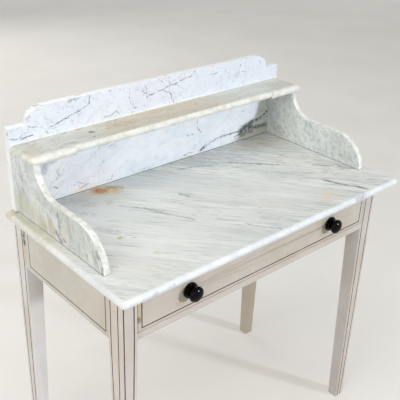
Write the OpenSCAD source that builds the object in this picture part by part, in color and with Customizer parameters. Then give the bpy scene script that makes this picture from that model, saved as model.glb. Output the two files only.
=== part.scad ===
// Painted washstand with a marble top, a marble gallery and one drawer.
// Millimetres. +Z is up, -Y is the front, +X is the right-hand side seen from the front.
// The origin is on the floor, under the middle of the overall width and depth.

/* [Marble top] */
// Width of the marble top, side to side
top_w = 915; // [760:5:1100]
// Depth of the marble top, front to back
top_d = 475; // [450:5:540]
// Thickness of the marble top, which sets its half-round edge
top_t = 19; // [17:1:26]
// Radius of the flat part of the two front corners, seen from above
top_corner_r = 3; // [2:0.5:20]
// Height of the marble surface above the floor
table_h = 780; // [700:5:820]

/* [Gallery] */
// Distance from each end of the top to the splashback and the shelf
gallery_in = 19; // [14:1:40]
// Thickness of the splashback
splash_t = 19; // [16:1:26]
// Height of the splashback's shoulders above the top
shoulder_h = 209; // [195:1:240]
// Rise of the splashback's middle above its shoulders, also the radius of its corners
raise_h = 38; // [25:1:50]
// Distance from each end of the splashback to its raised middle
raise_in = 48; // [35:1:90]
// Step of the nick in each raised corner
nick = 3; // [2:0.5:5]
// Height of the nick above the shoulder
nick_h = 29; // [22:1:31]
// Width of the raised corner's upper part, above the nick
lobe_w = 22; // [14:1:26]
// Height of the shelf's underside above the top
shelf_up = 152; // [140:1:165]
// Thickness of the shelf
shelf_t = 19; // [16:1:24]
// Depth of the shelf at its ends
shelf_d = 101; // [98:1:120]
// Distance that the shelf's middle steps back from its ends
shelf_break = 8; // [4:1:12]
// Length of each projecting end of the shelf
shelf_end_w = 114; // [60:1:160]
// Radius of the flat part of the shelf's front corners, seen from above
shelf_corner_r = 4; // [2:1:10]

/* [Cheeks] */
// Distance from each end of the shelf to the outer face of the cheek under it
cheek_in = 9; // [5:1:20]
// Thickness of a cheek
cheek_t = 15; // [14:1:22]
// Depth of a cheek along the marble top
cheek_d = 353; // [330:1:370]
// Depth of a cheek under the shelf
cheek_top_d = 88; // [75:1:92]
// Height of the cheek's waist above the top
waist_h = 85; // [75:1:92]
// Radius of the hollow curve between the shelf and the waist
cove_r = 75; // [50:1:80]
// Radius of the round nose
nose_r = 95; // [93:1:110]

/* [Frame] */
// Distance from each end of the marble top to the frame's side
side_overhang = 28; // [10:1:45]
// Distance from the marble top's front edge to the frame's front
front_overhang = 52; // [15:1:60]
// Distance that the frame stands out behind the marble top's back edge
back_proud = 17; // [-20:1:25]
// Width of a leg at its top
leg_w = 44; // [42:1:54]
// Width of a leg at the floor
foot_w = 30; // [26:1:38]
// Height of the aprons
apron_h = 134; // [125:1:160]
// Thickness of the aprons
apron_t = 20; // [18:1:24]
// Thickness of the rail under the drawer, and of the runners level with it
rail_t = 18; // [16:1:26]
// Thickness of the rail over the drawer, and of the kickers level with it
top_rail_t = 18; // [13:1:22]
// Width of the bearer under the middle of the marble
bearer_w = 45; // [30:1:70]
// Width of the runners and kickers past the legs' inner faces
runner_w = 20; // [14:1:30]
// Height of the guides beside the drawer
guide_h = 20; // [12:1:35]
// Height of the drawer stops
stop_h = 5; // [4:0.5:6]
// Length of a drawer stop
stop_w = 40; // [25:1:60]
// Distance from the middle of the rail to each drawer stop
stop_x = 200; // [100:5:260]

/* [Incised lines] */
// Width of an incised line
line_w = 2.4; // [1.5:0.1:3.5]
// Depth of an incised line
line_d = 1.2; // [0.6:0.1:2]
// Distance from a leg's edges to its lines
leg_line_in = 7.5; // [5:0.5:10]
// Distance from the drawer front's ends to its line
drawer_line_in = 9; // [6:0.5:16]
// Distance from the drawer front's bottom and top edges to its line
drawer_line_up = 7; // [5:0.5:14]
// Distance from the front leg to the apron's line
apron_line_front = 8; // [5:0.5:16]
// Distance from the back leg to the apron's line
apron_line_back = 21; // [5:0.5:30]
// Distance from the apron's bottom and top edges to its line
apron_line_up = 12; // [8:0.5:20]

/* [Joints of the frame] */
// Thickness of the aprons' tenons
tenon_t = 9; // [7:1:11]
// Length of the aprons' tenons
tenon_l = 24; // [16:1:26]
// Wood left above and below an apron's tenon
tenon_in = 15; // [10:1:25]
// Thickness of the lower rail's tenons
rail_tenon_t = 10; // [8:1:12]
// Length of the lower rail's tenons
rail_tenon_l = 18; // [12:1:22]
// Wood left in front of and behind the lower rail's tenons
rail_tenon_in = 11; // [8:1:13]
// Length of the top rail's dovetails
dovetail_l = 18; // [12:1:22]
// Width of the top rail's dovetails at their ends
dovetail_w = 24; // [18:1:28]
// Narrowing of a dovetail at its shoulder
dovetail_slope = 3; // [2:0.5:4]
// Depth of the top rail's dovetails, from the top of the leg
dovetail_t = 10; // [8:1:12]
// Thickness of the tongues on the runners, kickers and bearer
tongue_t = 6; // [5:0.5:8]
// Length of the tongues on the runners, kickers and bearer
tongue_l = 8; // [6:1:10]
// Play around a glued joint
joint_play = 0.2; // [0.1:0.05:0.3]

/* [Drawer] */
// Thickness of the drawer front
drawer_front_t = 19; // [17:1:24]
// Gap around the drawer front, in its opening
drawer_gap = 1.5; // [1:0.1:2.5]
// Gap between the drawer's sides and the runners under them
slide_gap = 0.5; // [0.3:0.1:1]
// Distance from the drawer front's top edge to the sides' top edge
side_drop = 5; // [3:0.5:12]
// Thickness of the drawer's sides
drawer_side_t = 11; // [9:1:14]
// Thickness of the drawer's back
drawer_back_t = 11; // [9:1:14]
// Distance from the drawer's back to the back apron
drawer_back_gap = 15; // [8:1:30]
// Distance from the sides' top edge to the back's top edge
back_drop = 6; // [3:1:15]
// Thickness of the drawer's bottom
bottom_t = 7; // [5:0.5:9]
// Height of the drawer's bottom above the sides' lower edge
bottom_up = 8; // [7.5:0.5:12]
// Depth of the grooves that hold the drawer's bottom
bottom_groove = 5; // [4:0.5:7]
// Front of the drawer front that hides the dovetails
lap_t = 5; // [4:0.5:8]
// Dovetails at each front corner of the drawer
front_tails = 3; // [2:1:4]
// Dovetails at each back corner of the drawer
back_tails = 2; // [2:1:3]
// Share of the dovetails' spacing taken by a tail at its wide end
tail_share = 0.7; // [0.6:0.05:0.8]
// Narrowing of a drawer's dovetail on each side of its root
tail_slope = 2.2; // [1.5:0.1:3]
// Nails that hold the drawer's bottom
bottom_nails = 4; // [3:1:6]
// Diameter of the nails' shanks
nail_d = 2.4; // [2:0.1:3]
// Length of the nails
nail_l = 25; // [20:1:32]
// Diameter of the nails' heads
nail_head_d = 5; // [4:0.5:7]
// Thickness of the nails' heads
nail_head_t = 1; // [0.6:0.1:1.5]

/* [Knobs] */
// Distance from each end of the drawer front to a knob's axis
knob_in = 142.5; // [90:0.5:200]
// Overall length of a knob
knob_l = 33; // [30:0.5:42]
// Diameter of the flange against the drawer
flange_d = 39; // [33:0.5:45]
// Thickness of the flange
flange_t = 5.5; // [4:0.5:6.5]
// Diameter of the bead on the flange
bead_d = 30; // [24:0.5:32]
// Rise of the bead over the flange
bead_t = 3; // [2:0.5:3.5]
// Diameter of the knob's head
head_d = 38; // [32:0.5:44]
// Radius of the head's rim
head_rim_r = 7; // [5.5:0.5:8.5]
// Rise of each domed face of the head over its rim
head_dome = 4; // [2:0.5:5]
// Diameter of the neck
neck_d = 18; // [14:0.5:21]
// Diameter of the screws that hold the knobs
knob_screw_d = 4; // [3:0.5:5]
// Depth of a screw in its knob
knob_screw_in = 20; // [12:1:25]
// Play around a screw in its hole
screw_play = 0.1; // [0.05:0.05:0.2]

/* [Pins and screws] */
// Diameter of the iron pins in the marble
pin_d = 6; // [5:0.5:7]
// Depth of a pin in the lower piece
pin_down = 12; // [8:1:14]
// Depth of a pin in the upper piece
pin_up = 12; // [8:1:13]
// Distance from the splashback's ends to its outer pins
splash_pin_in = 150; // [90:5:250]
// Distance from the splashback to the nearer pin under and over a cheek
cheek_pin_in = 26; // [18:1:30]
// Distance from a cheek's nose to the pin near it
nose_pin_in = 90; // [60:1:110]
// Diameter of the brass screws through the splashback
brass_d = 5; // [4:0.5:6]
// Diameter of the brass screws' heads
brass_head_d = 10; // [8:0.5:12]
// Height of the brass screws' heads
brass_head_h = 4; // [3:0.5:5]
// Depth of a brass screw in the cheek
brass_in = 30; // [20:1:40]
// Heights of the lower brass screws above the top
brass_low = 40; // [30:1:55]
// Distance from the upper brass screws to the shelf's underside
brass_high = 40; // [25:1:55]
// Diameter of the wood screws in the runners and kickers
wood_screw_d = 4.5; // [4:0.5:5]
// Diameter of their heads
wood_head_d = 8.5; // [7.5:0.5:9.5]
// Height of their heads
wood_head_h = 3; // [2:0.5:4]
// Depth of a wood screw in the side apron
wood_screw_in = 13; // [9:1:15]
// Distance from the legs to the wood screws
wood_screw_end = 70; // [40:5:120]

/* [Hidden] */
$fn = 96;

// A cut runs this far past the face it opens
past = 1;
// A hole is this much deeper than what stands in it
end_play = 1;

// Overall depth, measured back from the marble top's front edge
front_reach = min(0, front_overhang - knob_l);
back_reach = max(top_d, top_d + back_proud);
top_y0 = -(front_reach + back_reach) / 2;
top_y1 = top_y0 + top_d;

// Marble
top_edge = top_t / 2;
splash_w = top_w - 2 * gallery_in;
splash_y = top_y1 - splash_t;
shelf_z = table_h + shelf_up;
shelf_edge = shelf_t / 2;
shelf_y0 = splash_y - shelf_d;
shelf_mid_y0 = shelf_y0 + shelf_break;
cheek_out_x = splash_w / 2 - cheek_in;
cheek_mid_x = cheek_out_x - cheek_t / 2;
raise_x = splash_w / 2 - raise_in - raise_h - nick;

// Frame
base_w = top_w - 2 * side_overhang;
base_h = table_h - top_t;
base_y0 = top_y0 + front_overhang;
base_y1 = top_y1 + back_proud;
apron_z = base_h - apron_h;
leg_in_x = base_w / 2 - leg_w;
apron_in_x = base_w / 2 - apron_t;
leg_y0 = base_y0 + leg_w;
leg_y1 = base_y1 - leg_w;
back_in_y = base_y1 - apron_t;
rail_z1 = apron_z + rail_t;
top_rail_z = base_h - top_rail_t;
runner_in_x = leg_in_x - runner_w;
tenon_off = (apron_t - tenon_t) / 2;
dovetail_y = base_y0 + leg_w / 2;
wood_screw_z = [apron_z + rail_t / 2, top_rail_z + top_rail_t / 2];
wood_screw_y = [leg_y0 + wood_screw_end, leg_y1 - wood_screw_end];
wood_sink = 10;

// Drawer
drawer_x = leg_in_x - drawer_gap;
front_z0 = rail_z1 + drawer_gap;
front_z1 = top_rail_z - drawer_gap;
side_z0 = rail_z1 + slide_gap;
side_z1 = front_z1 - side_drop;
bottom_z0 = side_z0 + bottom_up;
bottom_z1 = bottom_z0 + bottom_t;
back_z1 = side_z1 - back_drop;
side_root_y0 = base_y0 + drawer_front_t;
drawer_y1 = back_in_y - drawer_back_gap;
side_root_y1 = drawer_y1 - drawer_back_t;
side_in_x = drawer_x - drawer_side_t;
bottom_x = side_in_x + bottom_groove - joint_play;
bottom_y0 = side_root_y0 - bottom_groove + joint_play;
knob_x = drawer_x - knob_in;
knob_z = (front_z0 + front_z1) / 2;

// Knob's head: distance of its middle from the drawer front, radius at the middle of its rim,
// and depth of a dome's centre behind the head's middle
head_mid = knob_l - head_dome - head_rim_r;
head_r = head_d / 2 - head_rim_r;
dome_down = (head_r * head_r - head_dome * head_dome) / (2 * head_dome);
dome_r = dome_down + head_dome + head_rim_r;

// Colours
MARBLE = "#e4e6e4";
PAINT = "#cfc6ba";
PINE = "#c9a672";
BLACK = "#14110f";
IRON = "#5b5853";
BRASS = "#b08d45";

// A box from one corner to the opposite one
module block(low, high) {
    translate(low) cube(high - low);
}

// The same shape on the left and on the right
module both() {
    for (side = [0, 1]) mirror([side, 0, 0]) children();
}

// A rod along +Y, +X or +Z from a point
module rod_y(at, d, l) {
    translate(at) rotate([-90, 0, 0]) cylinder(d = d, h = l);
}
module rod_x(at, d, l) {
    translate(at) rotate([0, 90, 0]) cylinder(d = d, h = l);
}
module rod_z(at, d, l) {
    translate(at) cylinder(d = d, h = l);
}

// ---- Marble ----

// Half of a rod: the rounded edge of a board of thickness t, bulging towards +X
module half_round_2d(t) {
    intersection() {
        translate([0, t / 2]) circle(d = t);
        square([t / 2, t]);
    }
}

// Rounded front edge of length l, starting at a point of the board's lower core edge
module edge_front(at, l, t) {
    translate(at) rotate([90, 0, 90]) linear_extrude(l) mirror([1, 0]) half_round_2d(t);
}

// Rounded right-hand edge of length l, running back from a point
module edge_right(at, l, t) {
    translate([at[0], at[1] + l, at[2]]) rotate([90, 0, 0]) linear_extrude(l) half_round_2d(t);
}

// Rounded front right corner around a point, with a flat part of radius r
module corner_right(at, r, t) {
    translate(at) rotate([0, 0, -90]) rotate_extrude(angle = 90) union() {
        square([r, t]);
        translate([r, 0]) half_round_2d(t);
    }
}

// Top: a core with square notches at the front corners, and rounded edges around it
module marble_top() {
    core_x = top_w / 2 - top_edge;
    core_y = top_y0 + top_edge;
    corner_x = core_x - top_corner_r;
    corner_y = core_y + top_corner_r;
    color(MARBLE) difference() {
        union() {
            block([-core_x, corner_y, base_h], [core_x, top_y1, table_h]);
            block([-corner_x, core_y, base_h], [corner_x, corner_y, table_h]);
            edge_front([-corner_x, core_y, base_h], 2 * corner_x, top_t);
            both() {
                edge_right([core_x, corner_y, base_h], top_y1 - corner_y, top_t);
                corner_right([corner_x, corner_y, base_h], top_corner_r, top_t);
            }
        }
        splash_pin_places() pin_hole_down();
        cheek_pin_places() pin_hole_down();
    }
}

module pin_hole_down() {
    rod_z([0, 0, -pin_down - end_play], pin_d + 2 * joint_play, pin_down + end_play + past);
}

module pin_hole_up() {
    rod_z([0, 0, -past], pin_d + 2 * joint_play, pin_up + end_play + past);
}

module pin() {
    rod_z([0, 0, -pin_down], pin_d, pin_down + pin_up);
}

module splash_pin_places() {
    for (x = [-splash_w / 2 + splash_pin_in, 0, splash_w / 2 - splash_pin_in])
        translate([x, splash_y + splash_t / 2, table_h]) children();
}

module cheek_pin_places() {
    both() for (depth = [cheek_pin_in, cheek_d - nose_pin_in])
        translate([cheek_mid_x, splash_y - depth, table_h]) children();
}

module shelf_pin_places() {
    both() for (depth = [cheek_pin_in, cheek_top_d - cheek_pin_in])
        translate([cheek_mid_x, splash_y - depth, shelf_z]) children();
}

module brass_places() {
    both() for (z = [table_h + brass_low, shelf_z - brass_high])
        translate([cheek_mid_x, top_y1, z]) children();
}

// Raised corner of the splashback: two lobes with a nick between them
module raised_corner_2d() {
    translate([raise_x, shoulder_h]) {
        intersection() {
            circle(r = raise_h);
            square([lobe_w, raise_h]);
        }
        intersection() {
            circle(r = raise_h + nick);
            square([raise_h + nick, nick_h]);
        }
    }
}

module splash_2d() {
    translate([-splash_w / 2, 0]) square([splash_w, shoulder_h]);
    translate([-raise_x, 0]) square([2 * raise_x, shoulder_h + raise_h]);
    raised_corner_2d();
    mirror([1, 0]) raised_corner_2d();
}

module splashback() {
    color(MARBLE) difference() {
        translate([0, top_y1, table_h]) rotate([90, 0, 0]) linear_extrude(splash_t) splash_2d();
        splash_pin_places() pin_hole_up();
        brass_places() brass_hole();
    }
}

// Hole and countersunk seat for a brass screw, from the splashback's back face forwards
module brass_hole() {
    hole_l = splash_t + brass_in + end_play;
    rod_y([0, -hole_l, 0], brass_d + 2 * screw_play, hole_l + past);
    rod_y([0, -brass_head_h, 0], brass_head_d + 2 * screw_play, brass_head_h + past);
}

// One projecting end of the shelf, with its rounded front, side and corner
module shelf_end() {
    core_x = splash_w / 2 - shelf_edge;
    step_x = splash_w / 2 - shelf_end_w;
    corner_x = core_x - shelf_corner_r;
    core_y = shelf_y0 + shelf_edge;
    corner_y = core_y + shelf_corner_r;
    block([step_x, corner_y, shelf_z], [core_x, splash_y, shelf_z + shelf_t]);
    block([step_x, core_y, shelf_z], [corner_x, corner_y, shelf_z + shelf_t]);
    edge_front([step_x, core_y, shelf_z], corner_x - step_x, shelf_t);
    edge_right([core_x, corner_y, shelf_z], splash_y - corner_y, shelf_t);
    corner_right([corner_x, corner_y, shelf_z], shelf_corner_r, shelf_t);
}

module shelf() {
    step_x = splash_w / 2 - shelf_end_w;
    mid_y = shelf_mid_y0 + shelf_edge;
    color(MARBLE) difference() {
        union() {
            block([-step_x, mid_y, shelf_z], [step_x, splash_y, shelf_z + shelf_t]);
            edge_front([-step_x, mid_y, shelf_z], 2 * step_x, shelf_t);
            both() shelf_end();
        }
        shelf_pin_places() shelf_pin_hole_up();
    }
}

// The shelf's pins are shorter than the others, because the shelf is thin
shelf_pin_up = shelf_t / 2;
module shelf_pin_hole_up() {
    rod_z([0, 0, -past], pin_d + 2 * joint_play, shelf_pin_up + end_play + past);
}

// Ogee outline of a cheek: depth forward from the splashback, and height
module cheek_2d() {
    waist_y = cheek_top_d + cove_r;
    nose_y = cheek_d - nose_r;
    difference() {
        square([waist_y, shelf_up]);
        translate([waist_y, waist_h + cove_r]) circle(r = cove_r);
        translate([cheek_top_d, waist_h + cove_r]) square([cove_r + past, shelf_up]);
    }
    translate([waist_y, 0]) square([nose_y - waist_y, waist_h]);
    intersection() {
        translate([nose_y, waist_h - nose_r]) circle(r = nose_r);
        translate([nose_y, 0]) square([nose_r, waist_h]);
    }
}

module cheek_body() {
    difference() {
        translate([cheek_out_x - cheek_t, splash_y, table_h])
            rotate([90, 0, 90]) linear_extrude(cheek_t) mirror([1, 0]) cheek_2d();
        cheek_pin_places() pin_hole_up();
        shelf_pin_places() pin_hole_down();
        brass_places() brass_hole();
    }
}

module cheek_right() {
    color(MARBLE) cheek_body();
}

module cheek_left() {
    color(MARBLE) mirror([1, 0, 0]) cheek_body();
}

module splash_pins() {
    color(IRON) splash_pin_places() pin();
}

module cheek_pins() {
    color(IRON) cheek_pin_places() pin();
}

module shelf_pins() {
    color(IRON) shelf_pin_places() rod_z([0, 0, -pin_down], pin_d, pin_down + shelf_pin_up);
}

// Brass screws with a driver slot, their heads level with the splashback's back face
module gallery_screws() {
    shank_l = splash_t + brass_in;
    color(BRASS) brass_places() difference() {
        union() {
            rod_y([0, -shank_l, 0], brass_d, shank_l);
            rod_y([0, -brass_head_h, 0], brass_head_d, brass_head_h);
        }
        slot_y(brass_head_d, brass_head_h);
    }
}

// Driver slot across a head that faces +Y at the origin
module slot_y(d, h) {
    block([-d, -h / 3, -d / 12], [d, past, d / 12]);
}

// ---- Legs ----

// Side view of a leg: straight beside the aprons, tapered on its inner face below them
function leg_outline() = [
    [0, 0], [foot_w, 0], [leg_w, apron_z], [leg_w, base_h], [0, base_h]
];

// An incised line that follows the tapered face
function leg_line_outline() = [
    [foot_w - leg_line_in - line_w, -past], [foot_w - leg_line_in, -past],
    [leg_w - leg_line_in, apron_z], [leg_w - leg_line_in, base_h + past],
    [leg_w - leg_line_in - line_w, base_h + past], [leg_w - leg_line_in - line_w, apron_z]
];

// Both lines of the leg's outer face, which lies in the plane x = 0 or y = 0
module leg_lines_side() {
    rotate([90, 0, 90]) translate([0, 0, -past]) linear_extrude(line_d + past) {
        polygon(leg_line_outline());
        translate([leg_line_in, -past]) square([line_w, base_h + 2 * past]);
    }
}

module leg_lines_front() {
    mirror([1, -1, 0]) leg_lines_side();
}

// A leg with its outer corner at the origin, standing towards +X and +Y
module leg_blank() {
    intersection() {
        rotate([90, 0, 90]) linear_extrude(leg_w) polygon(leg_outline());
        translate([0, leg_w, 0]) rotate([90, 0, 0]) linear_extrude(leg_w) polygon(leg_outline());
    }
}

// Mortise for an apron that meets the leg along +Y
module apron_mortise() {
    block([tenon_off - joint_play, leg_w - tenon_l - end_play, apron_z + tenon_in - joint_play],
        [tenon_off + tenon_t + joint_play, leg_w + past, base_h - tenon_in + joint_play]);
}

module rail_mortise() {
    z = apron_z + (rail_t - rail_tenon_t) / 2;
    block([leg_w - rail_tenon_l - end_play, rail_tenon_in - joint_play, z - joint_play],
        [leg_w + past, leg_w - rail_tenon_in + joint_play, z + rail_tenon_t + joint_play]);
}

// Dovetail in plan, from the shoulder at x = 0 towards -X
module dovetail_2d(grow) {
    wide = dovetail_w / 2 + grow;
    root = dovetail_w / 2 - dovetail_slope + grow;
    polygon([[past, -root], [past, root], [0, root],
        [-dovetail_l - grow, wide], [-dovetail_l - grow, -wide], [0, -root]]);
}

module front_leg() {
    difference() {
        leg_blank();
        leg_lines_side();
        leg_lines_front();
        apron_mortise();
        rail_mortise();
        translate([leg_w, leg_w / 2, base_h - dovetail_t])
            linear_extrude(dovetail_t + past) dovetail_2d(joint_play);
    }
}

// A back leg has its lines on the side only, and mortises for the side and back aprons
module back_leg() {
    difference() {
        leg_blank();
        leg_lines_side();
        apron_mortise();
        mirror([1, -1, 0]) apron_mortise();
    }
}

module leg_front_left() {
    color(PAINT) translate([-base_w / 2, base_y0, 0]) front_leg();
}

module leg_front_right() {
    color(PAINT) translate([base_w / 2, base_y0, 0]) mirror([1, 0, 0]) front_leg();
}

module leg_back_left() {
    color(PAINT) translate([-base_w / 2, base_y1, 0]) mirror([0, 1, 0]) back_leg();
}

module leg_back_right() {
    color(PAINT) translate([base_w / 2, base_y1, 0]) mirror([1, 0, 0]) mirror([0, 1, 0]) back_leg();
}

// ---- Aprons and rails ----

// A rectangle of incised line between two corners
module line_frame_2d(low, high) {
    difference() {
        translate(low) square(high - low);
        translate(low + [line_w, line_w]) square(high - low - 2 * [line_w, line_w]);
    }
}

module side_apron_body() {
    difference() {
        union() {
            block([apron_in_x, leg_y0, apron_z], [base_w / 2, leg_y1, base_h]);
            block([apron_in_x + tenon_off, leg_y0 - tenon_l, apron_z + tenon_in],
                [apron_in_x + tenon_off + tenon_t, leg_y1 + tenon_l, base_h - tenon_in]);
        }
        translate([base_w / 2 - line_d, 0, 0]) rotate([90, 0, 90]) linear_extrude(line_d + past)
            line_frame_2d([leg_y0 + apron_line_front, apron_z + apron_line_up],
                [leg_y1 - apron_line_back, base_h - apron_line_up]);
        frame_screw_holes();
    }
}

module side_apron_right() {
    color(PAINT) side_apron_body();
}

module side_apron_left() {
    color(PAINT) mirror([1, 0, 0]) side_apron_body();
}

module back_apron() {
    tenon_y = base_y1 - tenon_off - tenon_t;
    color(PAINT) difference() {
        union() {
            block([-leg_in_x, back_in_y, apron_z], [leg_in_x, base_y1, base_h]);
            block([-leg_in_x - tenon_l, tenon_y, apron_z + tenon_in],
                [leg_in_x + tenon_l, tenon_y + tenon_t, base_h - tenon_in]);
        }
        bearer_tongues(joint_play);
    }
}

module lower_rail() {
    z = apron_z + (rail_t - rail_tenon_t) / 2;
    color(PAINT) difference() {
        union() {
            block([-leg_in_x, base_y0, apron_z], [leg_in_x, leg_y0, rail_z1]);
            block([-leg_in_x - rail_tenon_l, base_y0 + rail_tenon_in, z],
                [leg_in_x + rail_tenon_l, leg_y0 - rail_tenon_in, z + rail_tenon_t]);
        }
        both() strip_tongue(apron_z, rail_t, joint_play);
    }
}

module top_rail() {
    color(PAINT) difference() {
        union() {
            block([-leg_in_x, base_y0, top_rail_z], [leg_in_x, leg_y0, base_h]);
            both() translate([leg_in_x, dovetail_y, base_h - dovetail_t])
                linear_extrude(dovetail_t) mirror([1, 0]) dovetail_2d(0);
        }
        both() strip_tongue(top_rail_z, top_rail_t, joint_play);
        bearer_tongues(joint_play);
    }
}

// Tongue of a runner or kicker into the rail in front of it, larger by grow for the slot
module strip_tongue(z, t, grow) {
    mid = z + t / 2;
    block([runner_in_x - grow, leg_y0 - tongue_l - grow, mid - tongue_t / 2 - grow],
        [leg_in_x + grow, leg_y0 + past, mid + tongue_t / 2 + grow]);
}

// A runner or a kicker: a strip along the side apron, with a narrow tail past the back leg
module strip(z, t) {
    difference() {
        union() {
            block([runner_in_x, leg_y0, z], [apron_in_x, leg_y1, z + t]);
            block([runner_in_x, leg_y0, z], [leg_in_x, back_in_y, z + t]);
            strip_tongue(z, t, 0);
        }
        frame_screw_holes();
    }
}

module runner_right() {
    color(PINE) strip(apron_z, rail_t);
}

module runner_left() {
    color(PINE) mirror([1, 0, 0]) strip(apron_z, rail_t);
}

module kicker_right() {
    color(PINE) strip(top_rail_z, top_rail_t);
}

module kicker_left() {
    color(PINE) mirror([1, 0, 0]) strip(top_rail_z, top_rail_t);
}

module guide_right() {
    color(PINE) block([leg_in_x, leg_y0, rail_z1], [apron_in_x, leg_y1, rail_z1 + guide_h]);
}

module guide_left() {
    color(PINE) mirror([1, 0, 0])
        block([leg_in_x, leg_y0, rail_z1], [apron_in_x, leg_y1, rail_z1 + guide_h]);
}

module bearer_tongues(grow) {
    mid = top_rail_z + top_rail_t / 2;
    for (y = [leg_y0 - tongue_l - grow, back_in_y - past])
        block([-bearer_w / 2 - grow, y, mid - tongue_t / 2 - grow],
            [bearer_w / 2 + grow, y + tongue_l + grow + past, mid + tongue_t / 2 + grow]);
}

module centre_bearer() {
    color(PINE) union() {
        block([-bearer_w / 2, leg_y0, top_rail_z], [bearer_w / 2, back_in_y, base_h]);
        bearer_tongues(0);
    }
}

// Blocks on the lower rail, a slide gap behind the closed drawer front
module drawer_stops() {
    color(PINE) for (x = [-stop_x, stop_x])
        block([x - stop_w / 2, side_root_y0 + slide_gap, rail_z1],
            [x + stop_w / 2, leg_y0, rail_z1 + stop_h]);
}

module frame_screw_places() {
    for (y = wood_screw_y, z = wood_screw_z) translate([runner_in_x + wood_sink, y, z]) children();
}

module frame_screw_holes() {
    hole_l = apron_in_x - runner_in_x - wood_sink + wood_screw_in + end_play;
    frame_screw_places() {
        rod_x([0, 0, 0], wood_screw_d + 2 * screw_play, hole_l);
        rod_x([-wood_sink - past, 0, 0], wood_head_d + 2 * screw_play, wood_sink + past);
    }
}

// Wood screws, their heads on the floor of their sunk holes
module frame_screws() {
    shank_l = apron_in_x - runner_in_x - wood_sink + wood_screw_in;
    color(IRON) both() frame_screw_places() difference() {
        union() {
            rod_x([0, 0, 0], wood_screw_d, shank_l);
            rod_x([-wood_head_h, 0, 0], wood_head_d, wood_head_h);
        }
        block([-wood_head_h - past, -wood_head_d, -wood_head_d / 12],
            [-wood_head_h * 2 / 3, wood_head_d, wood_head_d / 12]);
    }
}

// ---- Drawer ----

// Dovetails between two heights, from their root at 0 to their wide ends at depth
module tails_2d(z0, z1, count, depth, grow) {
    pitch = (z1 - z0) / count;
    wide = pitch * tail_share / 2 + grow;
    root = wide - tail_slope;
    for (i = [0 : count - 1]) translate([0, z0 + (i + 0.5) * pitch])
        polygon([[0, -root], [depth, -wide], [depth, wide], [0, root]]);
}

// Tails of the drawer's sides: side view, y to the right and z up
module front_tails_2d(grow) {
    translate([side_root_y0, 0]) mirror([1, 0])
        tails_2d(side_z0, side_z1, front_tails, drawer_front_t - lap_t + grow, grow);
}

module back_tails_2d(grow, extra) {
    translate([side_root_y1, 0])
        tails_2d(bottom_z1, back_z1, back_tails, drawer_back_t + extra, grow);
}

// A side view extruded across a drawer side's thickness, from x to the drawer's outside
module across_side(x0, x1) {
    translate([x0, 0, 0]) rotate([90, 0, 90]) linear_extrude(x1 - x0) children();
}

// Groove that holds the drawer's bottom, in whichever board it is cut from
module bottom_slot() {
    block([-side_in_x - bottom_groove, side_root_y0 - bottom_groove, bottom_z0 - joint_play],
        [side_in_x + bottom_groove, drawer_y1 + past, bottom_z1 + joint_play]);
}

module drawer_side_body() {
    difference() {
        across_side(side_in_x, drawer_x) {
            translate([side_root_y0, side_z0])
                square([side_root_y1 - side_root_y0, side_z1 - side_z0]);
            translate([side_root_y1, side_z0]) square([drawer_back_t, bottom_z1 - side_z0]);
            front_tails_2d(0);
            back_tails_2d(0, 0);
        }
        bottom_slot();
    }
}

module drawer_side_right() {
    color(PINE) drawer_side_body();
}

module drawer_side_left() {
    color(PINE) mirror([1, 0, 0]) drawer_side_body();
}

module drawer_front() {
    line_x = drawer_x - drawer_line_in;
    line_z = [front_z0 + drawer_line_up, front_z1 - drawer_line_up];
    color(PAINT) difference() {
        block([-drawer_x, base_y0, front_z0], [drawer_x, side_root_y0, front_z1]);
        both() across_side(side_in_x - joint_play, drawer_x + past) front_tails_2d(joint_play);
        bottom_slot();
        translate([0, base_y0 + line_d, 0]) rotate([90, 0, 0]) linear_extrude(line_d + past)
            line_frame_2d([-line_x, line_z[0]], [line_x, line_z[1]]);
        knob_places() rod_y([0, -past, 0], knob_screw_d + 2 * screw_play, drawer_front_t + 2 * past);
    }
}

module drawer_back() {
    color(PINE) difference() {
        block([-drawer_x, side_root_y1, bottom_z1], [drawer_x, drawer_y1, back_z1]);
        both() across_side(side_in_x - joint_play, drawer_x + past) back_tails_2d(joint_play, past);
        nail_places() nail_hole();
    }
}

module drawer_bottom() {
    color(PINE) difference() {
        block([-bottom_x, bottom_y0, bottom_z0], [bottom_x, drawer_y1, bottom_z1]);
        nail_places() nail_hole();
    }
}

module nail_places() {
    spread = 2 * side_in_x / bottom_nails;
    for (i = [0 : bottom_nails - 1])
        translate([(i + 0.5) * spread - side_in_x, side_root_y1 + drawer_back_t / 2, bottom_z0]) children();
}

module nail_hole() {
    rod_z([0, 0, -past], nail_d + 2 * screw_play, nail_l + end_play + past);
    rod_z([0, 0, -past], nail_head_d + 2 * screw_play, nail_head_t + past);
}

module drawer_nails() {
    color(IRON) nail_places() {
        rod_z([0, 0, 0], nail_d, nail_l);
        rod_z([0, 0, 0], nail_head_d, nail_head_t);
    }
}

module knob_places() {
    for (x = [-knob_x, knob_x]) translate([x, base_y0, knob_z]) children();
}

// Half section of a disc of diameter d and thickness t with a rounded edge of radius r,
// its flat back at height z
module disc_2d(d, t, r, z) {
    translate([0, z]) square([d / 2 - r, t]);
    translate([0, z]) square([d / 2, t - r]);
    translate([d / 2 - r, z + t - r]) circle(r = r);
}

// Half section of one face of a knob's head, from the head's middle upwards.
// The dome ends where it is tangent to the rim's round.
module head_face_2d() {
    top = head_dome + head_rim_r + past;
    intersection() {
        translate([0, -dome_down]) circle(r = dome_r);
        polygon([[0, 0], [head_r, 0], [head_r * (top + dome_down) / dome_down, top], [0, top]]);
    }
}

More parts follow.
